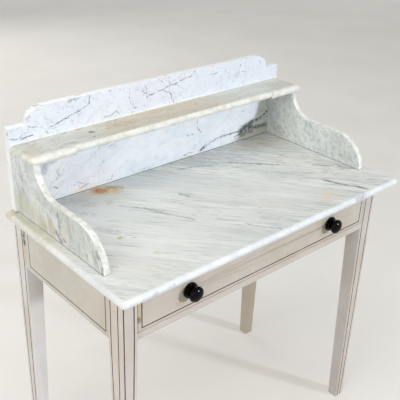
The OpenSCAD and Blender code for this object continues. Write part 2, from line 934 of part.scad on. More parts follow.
// Half section of a knob: radius to the right, distance from the drawer upwards
module knob_2d() {
    disc_2d(flange_d, flange_t, flange_t / 2, 0);
    disc_2d(bead_d, flange_t / 2 + bead_t, bead_t / 2, flange_t / 2);
    square([neck_d / 2, head_mid]);
    translate([0, head_mid]) {
        translate([head_r, 0]) circle(r = head_rim_r);
        head_face_2d();
        mirror([0, 1]) head_face_2d();
    }
}

module knob_at(x) {
    color(BLACK) translate([x, base_y0, knob_z]) difference() {
        rotate([90, 0, 0]) rotate_extrude() knob_2d();
        rod_y([0, -knob_screw_in - end_play, 0], knob_screw_d + 2 * screw_play,
            knob_screw_in + end_play + past);
    }
}

module knob_left() {
    knob_at(-knob_x);
}

module knob_right() {
    knob_at(knob_x);
}

// Screws from inside the drawer, with round heads twice as wide as their shanks
module knob_screws() {
    head_h = knob_screw_d * 0.6;
    color(IRON) knob_places() difference() {
        union() {
            rod_y([0, -knob_screw_in, 0], knob_screw_d, knob_screw_in + drawer_front_t);
            rod_y([0, drawer_front_t, 0], 2 * knob_screw_d, head_h);
        }
        translate([0, drawer_front_t + head_h, 0]) slot_y(2 * knob_screw_d, head_h);
    }
}

marble_top();
splashback();
shelf();
cheek_left();
cheek_right();
splash_pins();
cheek_pins();
shelf_pins();
gallery_screws();
leg_front_left();
leg_front_right();
leg_back_left();
leg_back_right();
side_apron_left();
side_apron_right();
back_apron();
top_rail();
lower_rail();
centre_bearer();
runner_left();
runner_right();
kicker_left();
kicker_right();
guide_left();
guide_right();
drawer_stops();
frame_screws();
drawer_front();
drawer_side_left();
drawer_side_right();
drawer_back();
drawer_bottom();
drawer_nails();
knob_left();
knob_right();
knob_screws();
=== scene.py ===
"""Looks of the washstand: camera, soft light, floor and procedural materials over the CAD nodes."""

import math

import bpy
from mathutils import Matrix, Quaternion, Vector


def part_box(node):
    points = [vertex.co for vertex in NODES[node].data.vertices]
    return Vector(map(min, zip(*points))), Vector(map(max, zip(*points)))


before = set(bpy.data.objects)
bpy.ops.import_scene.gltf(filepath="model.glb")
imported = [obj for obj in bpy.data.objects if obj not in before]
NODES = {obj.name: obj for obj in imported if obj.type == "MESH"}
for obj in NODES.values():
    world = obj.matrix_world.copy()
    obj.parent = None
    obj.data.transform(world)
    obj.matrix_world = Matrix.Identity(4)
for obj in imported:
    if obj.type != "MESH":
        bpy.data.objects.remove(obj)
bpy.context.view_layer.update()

# Camera: the angle, place and lens of the photograph
CAM_AZIMUTH = math.radians(-42.41)
CAM_ELEVATION = math.radians(27.39)
CAM_ROLL = math.radians(2.13)
CAM_AT = Vector((-1.0830, -1.1369, 1.5724))
CAM_LENS = 62.37
CAM_SENSOR = 36.0

# Stage: what the world lights with and how bright it looks, how much the floor glows near the
# object and far from it, and the distances between which its glow grows
WORLD_LIGHT = 0.32
WORLD_SEEN = 0.80
WORLD_COLOUR = (252, 251, 248)
FLOOR_GLOW = 0.34
FAR_GLOW = 0.80
GLOW_FROM, GLOW_TO = 4.0, 14.0
FLOOR_HALF = 40.0
FLOOR_DROP = 0.0005

# Lamps: where they point and their two colours
LAMP_AIM = (0, 0, 0.7)
WARM = (1.0, 0.985, 0.94)
COOL = (0.86, 0.91, 1.0)

# Places that the materials refer to, in metres
SLAB_LOW, SLAB_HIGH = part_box("marble_top")
SPLASH_LOW, SPLASH_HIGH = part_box("splashback")
SHELF_LOW, SHELF_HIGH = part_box("shelf")
CHEEK_LOW, CHEEK_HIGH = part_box("cheek_left")
CHEEK_X = -(CHEEK_LOW.x + CHEEK_HIGH.x) / 2
CHEEK_HALF = (CHEEK_HIGH.x - CHEEK_LOW.x) / 2
LEG_LOW, LEG_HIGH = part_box("leg_front_left")
LEG_TOP_W = LEG_HIGH.x - LEG_LOW.x
LEG_FOOT_W = 0.030  # a leg narrows to this at the floor
FRAME_X = -LEG_LOW.x
FRAME_FRONT = LEG_LOW.y
FRAME_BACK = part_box("leg_back_left")[1].y
APRON_LOW_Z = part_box("lower_rail")[0].z
APRON_HIGH_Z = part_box("side_apron_left")[1].z
DRAWER_LOW, DRAWER_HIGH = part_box("drawer_front")
KNOB_LOW, KNOB_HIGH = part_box("knob_right")
KNOB_X = (KNOB_LOW.x + KNOB_HIGH.x) / 2
KNOB_Z = (KNOB_LOW.z + KNOB_HIGH.z) / 2

# Rounding of the edges of marble and of wood, the angle from which an edge is sharp, and how
# near the points lie that are joined first
MARBLE_ROUND = 0.0015
WOOD_ROUND = 0.0006
ROUND_ANGLE = math.radians(40)
WELD_WITHIN = 1e-6

# Incised lines: what lies at least this deep is line, and lines keep this far from edges
GROOVE_FROM = 0.0002
GROOVE_TO = 0.0030
GROOVE_SOFT = 0.0001
GROOVE_EDGE = 0.0045
GROOVE_COLOUR = (18, 14, 12)

# Noise: the range that gives soft clouds, and the turn of the slab's streaks in degrees
SOFT = (0.38, 0.62)
SLAB_TURN = (0, 0, 50)

# The slab's rounded rim: how far in from the edge its whiteness is full, and ends
RIM_FULL, RIM_END = 0.005, 0.012

# Dirt at the foot of upright marble: how high it is full, and ends
DIRT_FULL, DIRT_END = 0.0005, 0.0018

# A stain is full within this share of its radius, and gone at the other
STAIN_FULL, STAIN_END = 0.1, 1.2

# Farther than any vein reaches, counted in half widths
NO_VEIN = 9.0

# Main veins of the splashback: half width, and points as x and z
VEINS = (
    # Above the shelf
    (0.0008, ((-0.345, 0.97), (-0.295, 0.98), (-0.255, 0.995), (-0.225, 1.005), (-0.22, 1.025))),
    (0.0008, ((-0.04, 0.99), (0.015, 1.00), (0.065, 1.01), (0.10, 1.015), (0.115, 1.03))),
    (0.0007, ((-0.18, 0.96), (-0.16, 0.96), (-0.145, 0.97), (-0.135, 0.96))),
    (0.0007, ((-0.015, 1.035), (0.00, 1.015), (0.02, 1.00))),
    (0.0007, ((0.005, 0.995), (0.03, 0.98), (0.04, 0.955))),
    (0.0006, ((-0.085, 1.015), (-0.055, 1.00), (-0.045, 0.98))),
    (0.0005, ((-0.045, 0.99), (-0.01, 0.995))),
    (0.0005, ((-0.105, 1.02), (-0.105, 0.985), (-0.095, 0.975))),
    (0.0005, ((-0.055, 1.02), (-0.05, 0.985))),
    (0.0006, ((0.285, 1.015), (0.28, 1.00), (0.27, 0.98))),
    (0.0005, ((0.29, 0.995), (0.31, 0.99))),
    (0.0006, ((0.16, 1.005), (0.195, 1.005))),
    (0.0007, ((0.355, 1.015), (0.365, 1.01))),
    (0.0006, ((-0.39, 0.985), (-0.35, 0.975), (-0.34, 0.955))),
    (0.0009, ((-0.44, 0.965), (-0.41, 0.96), (-0.38, 0.96))),
    # Under the shelf
    (0.0007, ((0.125, 0.885), (0.13, 0.86), (0.145, 0.845))),
    (0.0006, ((0.09, 0.845), (0.115, 0.845))),
    (0.0005, ((-0.285, 0.80), (-0.265, 0.81), (-0.245, 0.795))),
    (0.0005, ((-0.185, 0.785), (-0.165, 0.79), (-0.16, 0.805))),
    # From the dark flaw at the right
    (0.0022, ((0.36, 0.83), (0.385, 0.835), (0.41, 0.85))),
    (0.0014, ((0.345, 0.83), (0.33, 0.82), (0.285, 0.81), (0.255, 0.81))),
    (0.0011, ((0.255, 0.81), (0.20, 0.81), (0.145, 0.79))),
    (0.0014, ((0.295, 0.80), (0.275, 0.795))),
    (0.0020, ((0.155, 0.80), (0.14, 0.79))),
    (0.0007, ((0.14, 0.79), (0.08, 0.79))),
)

# Stains, and on the slab and splashback some painted light and shade: two points in the plane of
# the face, radius, strength and screen colour
SPLASH_STAINS_AND_PAINTED_LIGHT = (
    # Brown and grey spots above the shelf
    ((-0.28, 1.02), (-0.255, 1.03), 0.005, 0.80, (150, 132, 116)),
    ((-0.365, 1.03), (-0.36, 1.035), 0.007, 0.70, (168, 140, 120)),
    ((-0.41, 0.995), (-0.385, 1.01), 0.006, 0.70, (196, 158, 140)),
    ((-0.165, 1.025), (-0.16, 1.03), 0.004, 0.70, (140, 130, 122)),
    ((0.11, 1.03), (0.13, 1.035), 0.004, 0.90, (96, 92, 92)),
    # A fleck, and a grey painted shadow under the left end of the shelf by the cheek
    ((-0.335, 0.815), (-0.325, 0.81), 0.004, 0.80, (96, 98, 104)),
    ((-0.355, 0.885), (-0.355, 0.865), 0.014, 0.65, (158, 162, 168)),
    ((-0.355, 0.885), (-0.325, 0.885), 0.008, 0.55, (158, 162, 170)),
    # Rust at the foot, and painted warm light reflected from the slab's rust spot
    ((-0.26, 0.79), (-0.235, 0.795), 0.0040, 0.80, (150, 118, 86)),
    ((-0.275, 0.785), (-0.22, 0.785), 0.009, 0.60, (252, 230, 202)),
    # The dark flaw by the right cheek
    ((0.30, 0.79), (0.41, 0.79), 0.011, 0.80, (216, 212, 190)),
    ((0.345, 0.81), (0.41, 0.805), 0.009, 0.90, (86, 96, 82)),
    ((0.30, 0.81), (0.335, 0.815), 0.017, 1.00, (44, 56, 54)),
    ((0.31, 0.82), (0.345, 0.83), 0.012, 0.90, (62, 74, 68)),
    ((0.33, 0.82), (0.345, 0.83), 0.010, 0.85, (76, 86, 80)),
    ((0.30, 0.795), (0.35, 0.80), 0.008, 0.70, (104, 108, 96)),
)
SLAB_STAINS_AND_SHADE = (
    # The rust spot at the back left
    ((-0.25, 0.20), (-0.245, 0.18), 0.022, 0.45, (216, 186, 168)),
    ((-0.22, 0.185), (-0.185, 0.165), 0.028, 1.00, (216, 182, 124)),
    ((-0.195, 0.19), (-0.165, 0.17), 0.014, 0.80, (150, 134, 102)),
    ((-0.225, 0.185), (-0.215, 0.175), 0.019, 1.00, (210, 142, 66)),
    ((-0.225, 0.19), (-0.215, 0.185), 0.018, 1.00, (184, 88, 14)),
    ((-0.225, 0.19), (-0.215, 0.19), 0.005, 0.90, (128, 54, 20)),
    ((-0.25, 0.155), (-0.225, 0.14), 0.018, 0.45, (196, 212, 220)),
    # Small brown, olive and tan spots
    ((-0.24, 0.115), (-0.235, 0.115), 0.010, 0.50, (174, 160, 140)),
    ((-0.315, -0.035), (-0.31, -0.035), 0.009, 0.80, (178, 180, 124)),
    ((-0.29, -0.135), (-0.285, -0.135), 0.011, 0.60, (196, 198, 150)),
    ((0.205, -0.20), (0.24, -0.19), 0.028, 0.50, (226, 208, 172)),
    ((0.055, -0.115), (0.085, -0.14), 0.035, 0.20, (230, 218, 206)),
    # Lilac patches beside the left cheek
    ((-0.33, 0.19), (-0.28, 0.17), 0.020, 0.50, (168, 164, 172)),
    ((-0.29, 0.145), (-0.27, 0.13), 0.016, 0.50, (178, 172, 182)),
    ((-0.32, 0.11), (-0.30, 0.09), 0.016, 0.50, (174, 170, 178)),
    ((-0.33, 0.03), (-0.305, -0.01), 0.014, 0.50, (182, 176, 186)),
    # The darkest streaks
    ((0.285, -0.12), (0.335, -0.23), 0.0060, 1.00, (88, 92, 92)),
    ((0.02, 0.165), (0.165, 0.11), 0.0040, 0.85, (118, 124, 124)),
    ((0.165, 0.11), (0.26, 0.02), 0.0050, 1.00, (104, 110, 110)),
    ((-0.07, 0.045), (-0.06, 0.02), 0.0060, 0.90, (96, 102, 106)),
    ((-0.045, -0.165), (0.00, -0.23), 0.0040, 0.80, (140, 144, 150)),
    ((0.34, -0.04), (0.38, -0.08), 0.0045, 0.85, (128, 132, 138)),
    ((0.39, -0.09), (0.415, -0.125), 0.0040, 0.85, (110, 114, 112)),
    ((-0.23, 0.09), (-0.185, 0.04), 0.0040, 0.75, (144, 150, 152)),
    ((-0.185, 0.04), (-0.13, -0.075), 0.0040, 0.75, (150, 156, 156)),
    # Tan by the right cheek: partly stain, partly painted shadow of the cheek and the shelf
    ((0.27, 0.17), (0.40, 0.13), 0.045, 0.45, (204, 190, 166)),
    # Outside the left cheek, from the back to the front
    ((-0.445, 0.21), (-0.445, 0.05), 0.030, 0.80, (204, 199, 176)),
    ((-0.45, 0.225), (-0.45, 0.215), 0.016, 0.70, (214, 182, 156)),
    ((-0.445, 0.05), (-0.455, -0.05), 0.024, 0.25, (214, 211, 196)),
    ((-0.455, -0.06), (-0.455, -0.19), 0.018, 0.55, (204, 210, 212)),
    # Broad painted shade at the back and the middle right
    ((-0.27, 0.17), (-0.22, 0.13), 0.070, 0.35, (194, 188, 170)),
    ((0.10, 0.18), (0.26, 0.14), 0.060, 0.40, (184, 188, 186)),
    ((0.20, -0.02), (0.26, -0.05), 0.035, 0.35, (188, 196, 198)),
)
# Bruises along the slab's front edge: points as x alone
RIM_STAINS = (
    ((-0.38,), (-0.38,), 0.008, 0.80, (140, 148, 162)),
    ((-0.34,), (-0.33,), 0.007, 0.50, (170, 178, 190)),
    ((0.275,), (0.305,), 0.010, 0.65, (160, 162, 180)),
    ((0.20,), (0.24,), 0.008, 0.40, (190, 190, 206)),
)
SHELF_STAINS = (
    # Brown spots and streaks at the left
    ((-0.315, 0.205), (-0.30, 0.205), 0.009, 0.55, (144, 116, 80)),
    ((-0.245, 0.17), (-0.245, 0.165), 0.009, 1.00, (84, 62, 42)),
    ((-0.275, 0.145), (-0.235, 0.14), 0.003, 0.75, (146, 120, 96)),
    ((-0.27, 0.20), (-0.25, 0.205), 0.008, 0.70, (150, 128, 98)),
    ((-0.43, 0.20), (-0.34, 0.205), 0.006, 0.60, (158, 150, 132)),
    # Softer patches of tan, cream and mauve
    ((-0.415, 0.155), (-0.40, 0.16), 0.018, 0.50, (206, 188, 158)),
    ((-0.335, 0.14), (-0.31, 0.14), 0.008, 0.50, (148, 130, 134)),
    ((-0.43, 0.14), (-0.42, 0.13), 0.014, 0.50, (226, 214, 172)),
    ((-0.20, 0.17), (-0.13, 0.17), 0.022, 0.50, (190, 164, 130)),
    ((0.02, 0.16), (0.10, 0.16), 0.020, 0.30, (202, 180, 154)),
)
LEFT_CHEEK_STAINS = (
    # Yellow and brown along the foot, and the upright dark vein in it
    ((0.19, 0.81), (0.10, 0.80), 0.035, 0.60, (202, 200, 172)),
    ((0.065, 0.81), (0.055, 0.80), 0.018, 0.60, (200, 180, 142)),
    ((0.095, 0.795), (0.085, 0.79), 0.012, 0.60, (196, 180, 146)),
    ((0.00, 0.82), (0.01, 0.80), 0.018, 0.35, (212, 194, 182)),
    ((0.03, 0.85), (0.025, 0.80), 0.005, 0.80, (128, 128, 126)),
    ((0.04, 0.80), (0.02, 0.785), 0.008, 0.75, (126, 122, 118)),
    # The dark web near the front
    ((-0.125, 0.835), (-0.135, 0.81), 0.007, 0.65, (122, 122, 126)),
    ((-0.138, 0.80), (-0.139, 0.795), 0.005, 0.70, (110, 110, 114)),
    ((-0.115, 0.825), (-0.125, 0.81), 0.006, 0.85, (86, 90, 90)),
    ((-0.125, 0.835), (-0.135, 0.81), 0.005, 0.80, (96, 100, 98)),
    ((-0.135, 0.79), (-0.135, 0.785), 0.006, 0.90, (80, 82, 84)),
    # Flecks and a pink patch between the two
    ((-0.055, 0.83), (-0.055, 0.83), 0.004, 0.80, (110, 112, 112)),
    ((-0.08, 0.80), (-0.08, 0.80), 0.004, 0.70, (110, 112, 112)),
    ((0.04, 0.795), (0.00, 0.795), 0.004, 0.70, (146, 120, 98)),
    ((-0.005, 0.835), (0.01, 0.815), 0.010, 0.30, (226, 210, 196)),
    ((-0.033, 0.79), (-0.03, 0.79), 0.003, 0.60, (120, 120, 122)),
)
RIGHT_CHEEK_STAINS = (
    ((0.19, 0.85), (0.18, 0.83), 0.030, 0.45, (172, 172, 186)),
    ((0.175, 0.805), (0.15, 0.80), 0.018, 0.55, (170, 160, 140)),
    ((-0.10, 0.80), (-0.08, 0.80), 0.006, 0.50, (140, 138, 128)),
)
# Where the left apron meets the back leg: points as y from the joint, and z
JOINT_STAINS = (
    ((-0.001, 0.75), (-0.001, 0.63), 0.009, 0.75, (196, 178, 138)),
    ((-0.002, 0.755), (-0.003, 0.70), 0.009, 1.0, (26, 18, 10)),
    ((-0.003, 0.70), (-0.003, 0.695), 0.004, 0.9, (84, 62, 40)),
)


# ---- Node helpers ----

def rgb(red, green, blue):
    """A screen colour, 0 to 255, as the linear values that a shader takes."""
    def linear(value):
        share = value / 255
        return share / 12.92 if share <= 0.04045 else ((share + 0.055) / 1.055) ** 2.4
    return tuple(linear(v) for v in (red, green, blue))


class Graph:
    """A node tree, with short calls that add a node, link its inputs and give its output."""

    def __init__(self, tree):
        self.tree = tree

    def node(self, kind, **props):
        made = self.tree.nodes.new(kind)
        for key, value in props.items():
            setattr(made, key, value)
        return made

    def put(self, socket, value):
        """Link a socket to another one, or set it to a value."""
        if isinstance(value, bpy.types.NodeSocket):
            self.tree.links.new(value, socket)
        elif isinstance(value, tuple) and socket.type == "RGBA" and len(value) == 3:
            socket.default_value = (*value, 1.0)
        else:
            socket.default_value = value

    def math(self, operation, *values):
        made = self.node("ShaderNodeMath", operation=operation)
        for socket, value in zip(made.inputs, values):
            self.put(socket, value)
        return made.outputs[0]

    def vector(self, operation, *values, out=0):
        made = self.node("ShaderNodeVectorMath", operation=operation)
        for socket, value in zip(made.inputs, values):
            self.put(socket, value)
        return made.outputs[out]

    def axes(self, source):
        made = self.node("ShaderNodeSeparateXYZ")
        self.put(made.inputs[0], source)
        return made.outputs

    def times(self, *values):
        product = values[0]
        for value in values[1:]:
            product = self.math("MULTIPLY", product, value)
        return product

    def most(self, *values):
        best = values[0]
        for value in values[1:]:
            best = self.math("MAXIMUM", best, value)
        return best

    def ramp(self, value, low, high, to_low=0.0, to_high=1.0, smooth=True):
        """to_low up to low, to_high from high on, and a smooth or straight way between. Only
        the straight one needs the clamp to hold its ends."""
        made = self.node("ShaderNodeMapRange")
        made.interpolation_type = "SMOOTHSTEP" if smooth else "LINEAR"
        made.clamp = not smooth
        for socket, number in zip(made.inputs, (value, low, high, to_low, to_high)):
            self.put(socket, number)
        return made.outputs[0]

    def rise(self, value, low, high, top=1.0):
        return self.ramp(value, low, high, 0.0, top)

    def fall(self, value, low, high, top=1.0):
        return self.ramp(value, low, high, top, 0.0)

    def within(self, value, low, high, soft=0.0002):
        """1 where the value lies between low and high, with soft ends."""
        return self.times(self.rise(value, low - soft, low + soft),
                          self.fall(value, high - soft, high + soft))

    def noise(self, source, scale=1.0, detail=3.0, rough=0.5, warp=0.0, colour=False):
        made = self.node("ShaderNodeTexNoise")
        self.put(made.inputs["Vector"], source)
        made.inputs["Scale"].default_value = scale
        made.inputs["Detail"].default_value = detail
        made.inputs["Roughness"].default_value = rough
        made.inputs["Distortion"].default_value = warp
        return made.outputs["Color" if colour else "Fac"]

    def turned(self, source, turn, stretch):
        """Coordinates turned first, in degrees, and stretched after."""
        rotated = self.node("ShaderNodeMapping", vector_type="POINT")
        self.put(rotated.inputs["Vector"], source)
        rotated.inputs["Rotation"].default_value = tuple(math.radians(a) for a in turn)
        return self.vector("MULTIPLY", rotated.outputs[0], stretch)

    def grain(self, source, turn, stretch, detail=3.0, rough=0.6, warp=0.0):
        """Noise that is short along the turned axes with a large stretch, and long along the
        others."""
        return self.noise(self.turned(source, turn, stretch), 1.0, detail, rough, warp)

    def warped(self, source, scale, amount):
        """Coordinates pushed about by noise, by up to half of amount each way."""
        push = self.vector("SUBTRACT", self.noise(source, scale, 2.0, colour=True), (0.5,) * 3)
        return self.vector("ADD", source, self.vector("MULTIPLY", push, (amount,) * 3))

    def segment(self, source, start, end):
        """Distance to a straight segment, or to a point where its ends are the same."""
        if start == end:
            return self.vector("DISTANCE", source, start, out=1)
        along = Vector(end) - Vector(start)
        away = self.vector("SUBTRACT", source, start)
        share = self.vector("DOT_PRODUCT", away, tuple(along / along.length_squared), out=1)
        kept = self.node("ShaderNodeClamp")
        self.put(kept.inputs["Value"], share)
        near = self.node("ShaderNodeVectorMath", operation="SCALE")
        near.inputs[0].default_value = tuple(along)
        self.put(near.inputs["Scale"], kept.outputs[0])
        return self.vector("LENGTH", self.vector("SUBTRACT", away, near.outputs[0]), out=1)

    def path(self, source, points):
        """Distance to a line through the points."""
        near = self.segment(source, points[0], points[1])
        for start, end in zip(points[1:], points[2:]):
            near = self.math("MINIMUM", near, self.segment(source, start, end))
        return near

    def line(self, field, level, width):
        """1 where a noise field crosses a level, as a vein does, fading over a width."""
        away = self.math("ABSOLUTE", self.math("SUBTRACT", field, level))
        return self.fall(away, 0.15 * width, width)

    def mix(self, factor, first, second, blend="MIX"):
        made = self.node("ShaderNodeMix", data_type="RGBA", blend_type=blend)
        self.put(made.inputs[0], factor)
        self.put(made.inputs[6], first)
        self.put(made.inputs[7], second)
        return made.outputs[2]

    def tint(self, colour, screen, *shares):
        """A colour mixed with a screen colour by the product of the shares."""
        return self.mix(self.times(*shares), colour, rgb(*screen))

    def scaled(self, colour, by):
        return self.mix(1.0, colour, by, "MULTIPLY")

    def bump(self, height, distance, strength=1.0, under=None):
        made = self.node("ShaderNodeBump")
        made.inputs["Strength"].default_value = strength
        made.inputs["Distance"].default_value = distance
        self.put(made.inputs["Height"], height)
        if under is not None:
            self.put(made.inputs["Normal"], under)
        return made.outputs[0]


class Surface(Graph):
    """A material: the place and the normal on a piece, and the shader that they feed."""

    def __init__(self, name):
        self.material = bpy.data.materials.new(name)
        self.material.use_nodes = True
        super().__init__(self.material.node_tree)
        self.tree.nodes.clear()
        self.out = self.node("ShaderNodeOutputMaterial")
        self.shader = self.node("ShaderNodeBsdfPrincipled")
        self.put(self.out.inputs["Surface"], self.shader.outputs[0])
        coordinates = self.node("ShaderNodeTexCoord")
        self.place = coordinates.outputs["Object"]
        self.x, self.y, self.z = self.axes(self.place)
        self.across = self.math("ABSOLUTE", self.x)
        self.normal_x, self.normal_y, self.normal_z = self.axes(coordinates.outputs["Normal"])

    def lay_stains_and_painted_light(self, colour, source, lift, stains):
        """Lay soft, broken stains, and on the slab and splashback some painted light and shade,
        over a colour; lift turns a stain's point into a place.
        """
        broken = self.ramp(self.noise(self.place, 90.0, 4.0, 0.65), 0.34, 0.58, 0.25, 1.0)
        for start, end, radius, strength, screen in stains:
            away = self.segment(source, lift(*start), lift(*end))
            mask = self.fall(away, STAIN_FULL * radius, STAIN_END * radius, strength)
            colour = self.tint(colour, screen, mask, broken)
        return colour

    def finish(self, colour, rough, normal=None, **sockets):
        self.put(self.shader.inputs["Base Color"], colour)
        self.put(self.shader.inputs["Roughness"], rough)
        if normal is not None:
            self.put(self.shader.inputs["Normal"], normal)
        for name, value in sockets.items():
            self.shader.inputs[name.replace("_", " ")].default_value = value
        return self.material


# ---- Marble ----

def polished(g, colour, wear):
    """Old polish: fine pits over slow waves, duller where the mask says so."""
    patches = g.noise(g.place, 35.0, 4.0, 0.7)
    rough = g.math("ADD", g.ramp(patches, 0.3, 0.7, 0.30, 0.50), g.times(wear, 0.2))
    waves = g.bump(g.noise(g.place, 14.0, 2.0), 0.0012, 0.25)
    pits = g.bump(g.noise(g.place, 420.0, 3.0, 0.6), 0.00025, 0.35, waves)
    return g.finish(colour, rough, pits, Specular_IOR_Level=0.25)


def foot_dirt(g, foot):
    """Mask of the dirt at the foot of an upright slab."""
    return g.fall(g.z, foot + DIRT_FULL, foot + DIRT_END)


def slab_ground(g, bed):
    """Grey-white, lighter at the left, darker along the front, warm in patches; darker along the
    back as painted shade under the gallery.
    """
    cloud = g.grain(bed, SLAB_TURN, (1.6, 7, 4))
    colour = g.tint(rgb(228, 230, 228), (217, 220, 219), g.rise(cloud, *SOFT))
    colour = g.tint(colour, (239, 241, 239), g.fall(g.x, -0.30, 0.0), 0.45)
    # Painted shade: darker along the back, under the gallery
    colour = g.tint(colour, (196, 202, 203), g.rise(g.y, -0.04, 0.17), 0.6)
    colour = g.tint(colour, (206, 211, 208), g.fall(g.y, -0.22, -0.10), 0.45)
    warm = g.grain(g.place, SLAB_TURN, (3, 7, 5))
    return g.tint(colour, (224, 218, 208), g.rise(warm, 0.52, 0.70, 0.25))


def slab_streaks(g, colour, bed):
    """Grey swathes, pale bands and dark broken streaks that run forwards and to the right,
    shorter and closer at the back right and along the front."""
    swathe = g.grain(bed, SLAB_TURN, (1.4, 10, 8), 4.0, warp=0.5)
    colour = g.tint(colour, (192, 200, 202), g.rise(swathe, 0.48, 0.66, 0.26))
    pale = g.grain(bed, SLAB_TURN, (2.2, 30, 25), 4.0)
    colour = g.tint(colour, (240, 242, 239), g.rise(pale, 0.50, 0.66, 0.50))
    rough_bed = g.warped(bed, 35.0, 0.004)
    patch = g.ramp(g.noise(g.place, 6.0, 3.0), 0.38, 0.60, 0.35, 1.0)
    busy = g.most(g.rise(g.math("ADD", g.x, g.y), 0.0, 0.28), g.fall(g.y, -0.22, -0.10, 0.45))
    for stretch, low, high, strength, screen, where in (
            ((4, 70, 40), 0.53, 0.64, 0.14, (180, 187, 186), patch),
            ((7, 130, 60), 0.57, 0.65, 0.42, (156, 163, 162), patch),
            ((12, 230, 90), 0.57, 0.65, 0.50, (144, 150, 150), patch),
            ((22, 200, 60), 0.63, 0.71, 0.65, (112, 118, 122), patch),
            ((15, 120, 50), 0.50, 0.62, 0.50, (234, 236, 232), busy),
            ((14, 150, 60), 0.51, 0.63, 0.55, (166, 172, 170), busy),
            ((26, 230, 80), 0.56, 0.66, 0.65, (128, 134, 132), busy)):
        streak = g.grain(rough_bed, SLAB_TURN, stretch, 4.0, 0.55)
        colour = g.tint(colour, screen, g.rise(streak, low, high, strength), where)
    return colour


def slab_rim(g, colour, ragged):
    """The rounded front and side edges: whiter, partly the stone and partly painted highlight;
    mottled, with a few bruises.
    """
    rim = g.most(g.rise(g.across, SLAB_HIGH.x - RIM_END, SLAB_HIGH.x - RIM_FULL),
                 g.fall(g.y, SLAB_LOW.y + RIM_FULL, SLAB_LOW.y + RIM_END))
    mottle = g.noise(g.place, 34.0, 5.0, 0.65)
    # Partly the stone, partly painted highlight: the rim made whiter
    colour = g.tint(colour, (237, 241, 245), rim, g.ramp(mottle, 0.36, 0.64, 0.8, 0.6))
    cloud = g.noise(g.place, 24.0, 5.0, 0.65)
    colour = g.tint(colour, (200, 207, 211), rim, g.rise(cloud, 0.48, 0.68, 0.3))
    nose_y, nose_z = SLAB_LOW.y + 0.002, SLAB_HIGH.z - 0.008
    return g.lay_stains_and_painted_light(colour, ragged, lambda px: (px, nose_y, nose_z), RIM_STAINS)


def slab_dirt(g):
    """Mask of the dirt in the joints with the splashback and the cheeks, less at the left one."""
    from_cheek = g.math("ABSOLUTE", g.math("SUBTRACT", g.across, CHEEK_X))
    by_cheek = g.times(g.fall(from_cheek, CHEEK_HALF + 0.0008, CHEEK_HALF + 0.0022),
                       g.rise(g.y, CHEEK_LOW.y - 0.002, CHEEK_LOW.y + 0.002),
                       g.ramp(g.x, -0.1, 0.1, 0.55, 1.0))
    by_splash = g.times(g.rise(g.y, SPLASH_LOW.y - 0.0024, SPLASH_LOW.y - 0.0008),
                        g.fall(g.across, SPLASH_HIGH.x, SPLASH_HIGH.x + 0.001))
    top_face = g.rise(g.z, SLAB_HIGH.z - 0.001, SLAB_HIGH.z)
    return g.times(g.most(by_cheek, by_splash), top_face)


def slab_marble():
    g = Surface("marble_slab")
    bed = g.warped(g.place, 2.5, 0.06)
    colour = slab_streaks(g, slab_ground(g, bed), bed)
    ragged = g.warped(g.warped(g.place, 14.0, 0.018), 70.0, 0.005)
    colour = slab_rim(g, colour, ragged)
    colour = g.lay_stains_and_painted_light(colour, ragged, lambda px, py: (px, py, SLAB_HIGH.z), SLAB_STAINS_AND_SHADE)
    dirt = slab_dirt(g)
    return polished(g, g.tint(colour, (74, 68, 58), dirt, 0.85), dirt)


def splash_ground(g, crooked):
    """Blue-white, darker above the shelf; whiter under its left end as painted light where the left
    cheek shades it; olive by the right cheek, partly the stone and partly painted shade.
    """
    cloud = g.noise(g.warped(g.place, 5.0, 0.1), 9.0, 5.0, 0.65)
    colour = g.tint(rgb(245, 248, 251), (235, 241, 246), g.rise(cloud, *SOFT))
    upper = g.rise(g.z, SHELF_LOW.z, SHELF_HIGH.z)
    colour = g.tint(colour, (224, 231, 240), upper, g.ramp(g.x, 0.0, 0.30, 0.5, 0.8))
    # Painted light: whiter under the shelf's left end, where the left cheek shades the stone
    colour = g.tint(colour, (255, 253, 252),
                    g.fall(g.x, -0.36, -0.22), g.fall(upper, 0.0, 1.0), 0.7)
    lilac = g.noise(g.place, 12.0, 3.0)
    colour = g.tint(colour, (230, 226, 240), g.rise(lilac, 0.54, 0.70, 0.4))
    streak = g.grain(crooked, (0, 25, 0), (14, 30, 60), 5.0, 0.65)
    colour = g.tint(colour, (212, 221, 228), g.rise(streak, 0.50, 0.68, 0.3))
    fine = g.grain(crooked, (0, 20, 0), (60, 90, 130), 4.0, 0.65)
    colour = g.tint(colour, (196, 206, 214), g.rise(fine, 0.56, 0.70, 0.35))
    speckle = g.ramp(g.noise(g.place, 120.0, 4.0, 0.7), 0.40, 0.62, 0.35, 1.0)
    # Partly the stone, partly painted shade: olive grey by the right cheek under the shelf
    return g.tint(colour, (196, 198, 180), g.rise(g.x, 0.345, 0.375),
                  g.fall(g.z, SHELF_LOW.z, SHELF_HIGH.z), speckle, 0.8)


